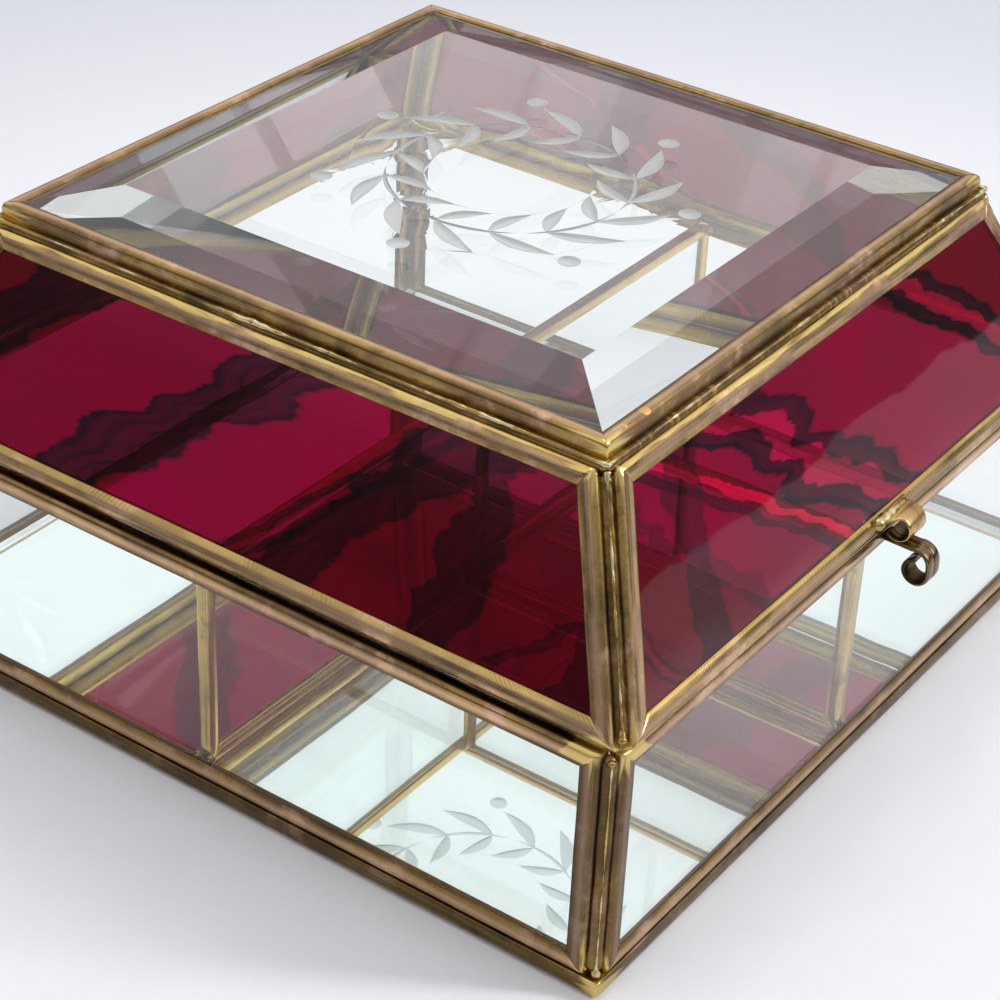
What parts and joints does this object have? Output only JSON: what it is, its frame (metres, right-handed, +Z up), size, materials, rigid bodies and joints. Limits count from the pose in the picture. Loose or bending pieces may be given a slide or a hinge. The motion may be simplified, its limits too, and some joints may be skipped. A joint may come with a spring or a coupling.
{
  "type": "glass casket box",
  "caption": "Square brass-bound glass casket with a mirror floor and T dividers, under a hinged hipped lid of sloping ruby panes and a bevelled, wheel-cut clear top pane.",
  "frame": {"origin": "middle of the base's footprint, on the surface the box stands on", "axes": "+Z up, the front with the latch faces -Y, +X to the right seen from the front"},
  "size_m": [0.153, 0.1651, 0.0852],
  "materials": {
    "brass_channel": "antique brass came, worn, with pinkish and olive tarnish",
    "solder": "bright brassed solder, lumpy",
    "latch_brass": "antique brass strip, worn bright on its edges",
    "hinge_brass": "drawn brass tube and wire, satin",
    "clear_glass": "clear float glass",
    "bevelled_glass": "thick clear glass, polished broad bevel, matt wheel-cut spray of leaves and flowers in the flat middle",
    "mirror_glass": "clear glass in front of the silvering",
    "silvering": "silvered back of the mirror",
    "ruby_glass": "ruby art glass with darker wisps"
  },
  "bodies": {
    "base": {"floor_frame": "brass_channel", "front_frame": "brass_channel", "right_frame": "brass_channel", "back_frame": "brass_channel", "left_frame": "brass_channel", "long_divider_frame": "brass_channel", "short_divider_frame": "brass_channel", "floor_pane": "clear_glass", "front_pane": "clear_glass", "right_pane": "clear_glass", "back_pane": "clear_glass", "left_pane": "clear_glass", "long_divider_pane": "clear_glass", "short_divider_pane": "clear_glass", "mirror_glass": "mirror_glass", "mirror_silvering": "silvering", "corner_solder": "solder", "divider_solder": "solder", "latch_hook": "latch_brass", "hinge_tube_left": "hinge_brass", "hinge_tube_right": "hinge_brass", "hinge_pin": "hinge_brass"},
    "lid": {"top_pane": "bevelled_glass", "top_frame": "brass_channel", "top_solder": "solder", "ruby_pane_front": "ruby_glass", "ruby_pane_right": "ruby_glass", "ruby_pane_back": "ruby_glass", "ruby_pane_left": "ruby_glass", "ruby_frame_front": "brass_channel", "ruby_frame_right": "brass_channel", "ruby_frame_back": "brass_channel", "ruby_frame_left": "brass_channel", "hip_solder": "solder", "latch_tongue": "latch_brass", "lid_hinge_tube": "hinge_brass"}
  },
  "joints": [
    {"name": "lid_hinge", "type": "hinge", "parent": "base", "child": "lid", "pos_m": [0, 0.0779, 0.046], "axis": [-1, 0, 0], "range_deg": [0, 110]}
  ]
}
